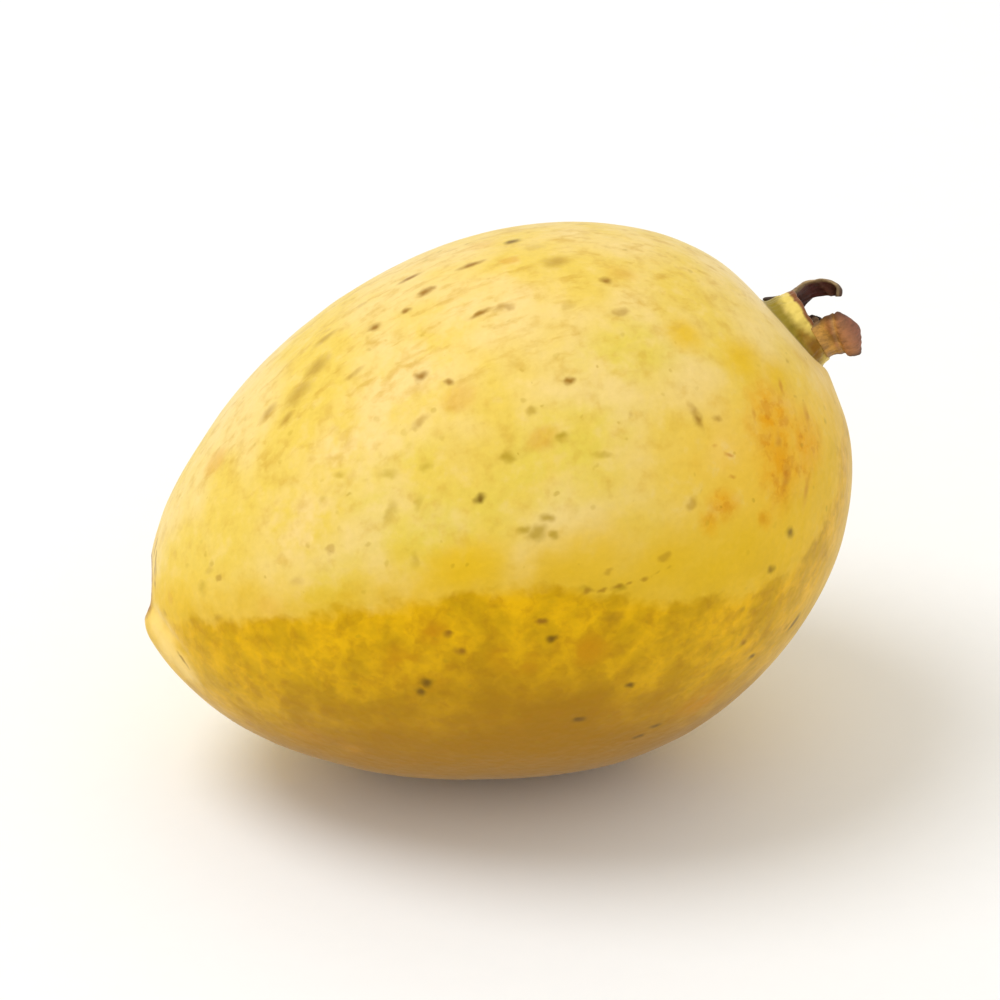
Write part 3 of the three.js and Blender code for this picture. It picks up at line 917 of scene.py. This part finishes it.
remains.data.materials.append(
    dried_material("dried_flower", (52, 34, 20), (150, 112, 70), grain=0.8, relief=0.12, roughness=0.75)
)
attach(remains, "root")
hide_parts("flower_remains")


# The sepals ----------------------------------------------------------------------------
# Five withered lobes of the calyx, leathery and dark. Each grows from the rim of the neck,
# curls its own way as it dries and is creased along its length; the tips are brittle.

RIM_RADIUS = 3.98
RIM_HEIGHT = 2.8
DRY_EDGES = ((66, 40, 28), (66, 40, 28))
SEPAL_RINGS = 72
SEPAL_SIDES = 56
RAGGED_EDGE = 0.09
WRINKLE_DEPTH = 0.13
FOLD_WIDTH = 0.05
LEATHER_GRAIN = 1.1
LEATHER_RELIEF = 0.14
LEATHER_DARK = (0.6, 0.56, 0.52, 1)
LEATHER_LIGHT = (1.3, 1.28, 1.22, 1)

# `turn` is degrees round the neck from the front. `line` holds (out, up) points from the rim.
# `widths` are (share of the length, width), and `thickness` is at the foot and the tip.
# `cupped` is how far the sides curl in, `drift` moves the tip sideways, and `twist` is in
# degrees at the tip. `rounded` is where along the lobe its tip starts to round off, and how
# bluntly. `fold` is where it is creased across, and how deep. The colours of the edges are
# for its two sides, right and left as the tip points up.
SEPALS = {
    "sepal_upper": {
        "turn": 130, "drift": 0.0, "twist": 20, "cupped": 0.45, "thickness": (0.9, 0.6),
        "line": [
            (0.1, -0.7), (0.1, 0.3), (0.1, 1.1), (0.05, 1.9), (-0.4, 3.1), (-1.2, 4.1), (-2.1, 4.55),
            (-2.9, 4.2),
        ],
        "widths": [(0, 5.2), (0.2, 4.0), (0.45, 3.1), (0.7, 2.4), (0.9, 2.0), (1, 1.5)],
        "rounded": (0.6, 2.5), "fold": (0.62, 0.15),
        "colours": {
            "foot": (88, 42, 28), "outer": (152, 128, 90), "inner": (84, 36, 30), "tip": (84, 58, 44),
            "fold": (112, 70, 52), "edges": ((58, 30, 24), (150, 128, 92)),
        },
    },
    "sepal_back": {
        "turn": 162, "drift": 2.6, "twist": 0, "cupped": 0.15, "thickness": (0.5, 0.4),
        "line": [(0.2, -0.5), (0.75, 0.0), (1.2, -0.9), (1.55, -2.1), (1.8, -3.3)],
        "widths": [(0, 2.2), (0.4, 1.8), (0.8, 1.4), (1, 1.1)],
        "rounded": (0.6, 2.5), "fold": (0.3, 0.1),
        "colours": {
            "foot": (116, 88, 40), "outer": (104, 76, 36), "inner": (74, 48, 28), "tip": (48, 36, 22),
            "fold": (122, 92, 50), "edges": DRY_EDGES,
        },
    },
    "sepal_far": {
        "turn": 193, "drift": 0.0, "twist": -10, "cupped": 0.2, "thickness": (0.6, 0.4),
        "line": [(0.1, -0.6), (0.05, 0.2), (-0.2, 0.8), (-0.5, 1.25)],
        "widths": [(0, 2.6), (0.5, 2.0), (1, 1.0)],
        "rounded": (0.6, 2.5), "fold": (0.5, 0.08),
        "colours": {
            "foot": (120, 70, 50), "outer": (96, 74, 60), "inner": (84, 60, 54), "tip": (70, 60, 58),
            "fold": (120, 90, 70), "edges": DRY_EDGES,
        },
    },
    "sepal_under": {
        "turn": 238, "drift": 0.0, "twist": 12, "cupped": 0.3, "thickness": (0.7, 0.45),
        "line": [(0.1, -0.6), (0.25, 0.5), (0.55, 1.3), (1.1, 2.1)],
        "widths": [(0, 3.6), (0.5, 3.3), (1, 1.8)],
        "rounded": (0.6, 2.5), "fold": (0.45, 0.12),
        "colours": {
            "foot": (110, 74, 40), "outer": (120, 84, 44), "inner": (92, 50, 36), "tip": (84, 58, 40),
            "fold": (150, 112, 66), "edges": DRY_EDGES,
        },
    },
    "sepal_front": {
        "turn": -27, "drift": -0.4, "twist": 0, "cupped": 0.6, "thickness": (1.0, 0.7),
        "line": [(0.1, -0.7), (0.15, 0.2), (0.45, 0.95), (1.05, 1.5), (1.5, 2.3), (1.5, 3.2), (1.0, 4.05)],
        "widths": [(0, 5.4), (0.25, 5.7), (0.45, 6.4), (0.7, 7.1), (1, 6.8)],
        "rounded": (0.66, 2.1), "fold": (0.47, 0.28),
        "colours": {
            "foot": (196, 150, 74), "outer": (172, 120, 80), "inner": (110, 64, 44), "tip": (146, 92, 70),
            "fold": (212, 170, 100), "edges": DRY_EDGES,
        },
    },
}


def sepal_rings(shape, seed):
    """Rings across one lobe, from its foot to its tip, and the numbers that its material reads."""
    spine = through(shape["line"], SEPAL_RINGS)
    share = np.linspace(0, 1, SEPAL_RINGS)[:, None]
    heading = unit(np.gradient(spine, axis=0))
    inward = np.stack([-heading[:, 1], heading[:, 0]], -1)
    section = np.linspace(0, 2 * math.pi, SEPAL_SIDES, endpoint=False)[None]
    side, face = np.cos(section), np.sin(section)
    side = np.sign(side) * np.abs(side) ** 0.8
    start, power = shape["rounded"]
    rounded = np.sqrt(np.clip(1 - np.clip((share - start) / (1 - start), 0, 1) ** power, 0.003, 1))
    width = np.interp(share, *np.array(shape["widths"]).T) * rounded
    thick = (shape["thickness"][0] * (1 - share) + shape["thickness"][1] * share) * np.sqrt(rounded)
    lumps = np.stack(np.broadcast_arrays(side * width * 0.9, share * 2.6, face * 0.3), -1)
    ragged = rough(lumps * (0, 1, 0), 0.45, seed).reshape(lumps.shape[:2])
    wrinkles = rough(lumps * (1, 0.45, 1), 0.55, seed).reshape(lumps.shape[:2])
    width = width * (1 + RAGGED_EDGE * ragged)
    across = side * width / 2
    into = face * thick / 2 + shape["cupped"] * side**2 * np.sin(math.pi / 2 * share)
    fold, depth = shape["fold"]
    creased = np.exp(-(((share + 0.1 * side - fold) / FOLD_WIDTH) ** 2))
    into = into + WRINKLE_DEPTH * wrinkles * (0.4 + 0.6 * rounded) + depth * creased
    twist = math.radians(shape["twist"]) * smoothed(1.4 * share)
    untwisted = across
    across = untwisted * np.cos(twist) + into * np.sin(twist)
    into = into * np.cos(twist) - untwisted * np.sin(twist)
    out = RIM_RADIUS + spine[:, :1] + inward[:, :1] * into
    up = RIM_HEIGHT + spine[:, 1:] + inward[:, 1:] * into
    across = across + shape["drift"] * share**1.5
    turn = math.radians(shape["turn"])
    flat = smoothed(share * 1.3)  # 0 where the lobe still follows the round rim
    angle = turn - (1 - flat) * across / RIM_RADIUS
    beside = flat * across
    local = np.stack([
        out * np.cos(angle) + beside * math.sin(turn), up, out * np.sin(angle) - beside * math.cos(turn),
    ], -1)
    numbers = {
        "along": share + 0 * side,
        "inner": 0.5 + 0.5 * face + 0 * share,
        "edge": side + 0 * share,
        "fold": creased,
    }
    return calyx["foot"] + local @ CALYX_TURN.T, numbers


def sepal_material(name, colours):
    """Dried leather, darker inside, that changes colour from its foot to its tip."""
    material, r, shader = new_material(name)
    place = r.own_place()
    shade = r.group(DRY_FIBRE, "Shade", Place=place, Size=LEATHER_GRAIN)
    along = r.number("MULTIPLY_ADD", shade, 0.12, r.mark("along"))
    inner = r.number("MULTIPLY_ADD", shade, 0.2, r.mark("inner"))
    colour = r.mix(r.rise(inner, 0.35, 0.85), paint(colours["outer"]), paint(colours["inner"]))
    colour = r.mix(r.fall(along, 0.3, 0.52), colour, paint(colours["foot"]))
    colour = r.mix(r.rise(along, 0.66, 0.98), colour, paint(colours["tip"]))
    colour = r.mix(r.times(r.mark("fold"), 0.6), colour, paint(colours["fold"]))
    edge = r.mark("edge")
    right_edge = r.rise(r.times(edge, -1.0), 0.7, 1.0, 0.75)
    colour = r.mix(right_edge, colour, paint(colours["edges"][0]))
    colour = r.mix(r.rise(edge, 0.6, 0.95, 0.85), colour, paint(colours["edges"][1]))
    shading = r.mix(shade, LEATHER_DARK, LEATHER_LIGHT)
    r.tree.links.new(r.mix(1.0, colour, shading, "MULTIPLY"), shader["Base Color"])
    r.tree.links.new(r.number("MULTIPLY_ADD", shade, 0.2, 0.5), shader["Roughness"])
    height = r.group(DRY_FIBRE, "Height", Place=place, Size=LEATHER_GRAIN)
    r.tree.links.new(r.bump(height, LEATHER_RELIEF), shader["Normal"])
    shader["Specular IOR Level"].default_value = 0.45
    return material


upright_to_calyx = Vector((0, 1, 0)).rotation_difference(Vector(calyx["outward"]))
CALYX_TURN = np.array(upright_to_calyx.to_matrix())
for number, (name, shape) in enumerate(SEPALS.items(), 1):
    rings, numbers = sepal_rings(shape, seed=10.0 * number)
    lobe = lofted(name + "_dried", [rings], {key: [values] for key, values in numbers.items()})
    lobe.data.materials.append(sepal_material(name + "_leather", shape["colours"]))
    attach(lobe, "root")
    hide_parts(name)


# The stalk scar ------------------------------------------------------------------------
# The corky end of the stalk, snapped off in its hollow: a low woody disc with a raised,
# broken ring round a pit, grown into the flesh below.

SCAR = [
    (0.2, -1.3), (0.7, -1.2), (1.05, -0.9), (1.45, -0.75), (1.75, -0.9), (1.95, -1.3), (1.9, -1.7), (1.0, -1.8),
]
SCAR_SIDES, SCAR_ROWS = 90, 30
BROKEN_DEPTHS = (0.2, 0.08)


def scar_rings():
    """Rings of the scar from its pit over the broken ring into the flesh."""
    spokes = spokes_round(stalk["outward"], np.linspace(0, 2 * math.pi, SCAR_SIDES, endpoint=False))
    shape = through(SCAR, SCAR_ROWS)
    rings = shape[:, :1, None] * spokes + shape[:, 1:, None] * stalk["outward"]
    coarse, fine = BROKEN_DEPTHS
    broken = coarse * rough(rings, 0.6, 2.0) + fine * rough(rings, 0.25, 4.0)
    above_flesh = np.clip(1.8 + shape[:, 1], 0, 1)[:, None]
    rise = (broken.reshape(rings.shape[:2]) * above_flesh)[..., None]
    return stalk["foot"] + rings + stalk["outward"] * rise


scar = lofted("stalk_scar_cork", [scar_rings()])
scar.data.materials.append(
    dried_material("cork", (84, 56, 34), (186, 150, 104), grain=0.7, relief=0.12, roughness=0.85)
)
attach(scar, "root")
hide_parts("stalk_scar")


# The floor, the light and the camera ------------------------------------------------------
# A plain white floor under a large soft light overhead and to the left, in a white room.

FLOOR_SIZE = 8.0
FLOOR_GRAIN = 0.003
FLOOR_DARK = (0.91, 0.93, 0.965, 1)
FLOOR_LIGHT = (0.93, 0.95, 0.985, 1)
ROOM_LIGHT = 0.8
ROOM_COLOUR = (1.0, 0.96, 0.88, 1)
KEY_POWER = 6.2
KEY_SIZE = 0.7
KEY_DISTANCE = 1.2
KEY_FROM = (-0.44, 0.765, 0.445)  # right, up and back, as the camera sees it
CAMERA_AZIMUTH = -12.5
CAMERA_ELEVATION = 33
CAMERA_DISTANCE = 0.9
FRAME_WIDTH = 0.11264  # what the picture takes in at the fruit
SENSOR = 36
AIM = (0.000352, 0.001549)  # right and up from the middle of the fruit

azimuth, elevation = math.radians(CAMERA_AZIMUTH), math.radians(CAMERA_ELEVATION)
back = Vector((
    math.sin(azimuth) * math.cos(elevation), -math.cos(azimuth) * math.cos(elevation), math.sin(elevation)
))
right = Vector((math.cos(azimuth), math.sin(azimuth), 0))
up = back.cross(right)
middle = Vector((LAY_DOWN @ (FRUIT_LENGTH / 2, 0, 0) + lift_and_shift) * MM)


def facing(place, towards):
    """A matrix that puts a camera or light at `place`, looking at `towards`."""
    turn = (place - towards).to_track_quat("Z", "Y")
    return Matrix.Translation(place) @ turn.to_matrix().to_4x4()


bpy.ops.mesh.primitive_plane_add(size=FLOOR_SIZE)
floor = bpy.context.object
floor.name = "floor"
floor_material, floor_recipe, floor_shader = new_material("white_floor")
floor_grain = floor_recipe.noise(floor_recipe.node("ShaderNodeTexCoord", {}, "Object"), FLOOR_GRAIN)
white = floor_recipe.mix(floor_grain, FLOOR_DARK, FLOOR_LIGHT)
floor_recipe.tree.links.new(white, floor_shader["Base Color"])
floor_shader["Roughness"].default_value = 0.7
floor_shader["Specular IOR Level"].default_value = 0.2
floor.data.materials.append(floor_material)

world = bpy.data.worlds.new("white_room")
world.use_nodes = True
room = world.node_tree.nodes["Background"].inputs
room["Color"].default_value = ROOM_COLOUR
room["Strength"].default_value = ROOM_LIGHT
bpy.context.scene.world = world
bpy.context.scene.view_settings.view_transform = "Standard"

key_light = bpy.data.lights.new("key", "AREA")
key_light.shape = "DISK"
key_light.size = KEY_SIZE
key_light.energy = KEY_POWER
key = bpy.data.objects.new("key", key_light)
bpy.context.scene.collection.objects.link(key)
key_direction = right * KEY_FROM[0] + up * KEY_FROM[1] + back * KEY_FROM[2]
key.matrix_world = facing(middle + key_direction * KEY_DISTANCE, middle)

target = middle + right * AIM[0] + up * AIM[1]
camera = bpy.data.objects.new("camera", bpy.data.cameras.new("camera"))
bpy.context.scene.collection.objects.link(camera)
camera.data.sensor_width = SENSOR
camera.data.lens = SENSOR * CAMERA_DISTANCE / FRAME_WIDTH
camera.matrix_world = facing(target + back * CAMERA_DISTANCE, target)
bpy.context.scene.camera = camera
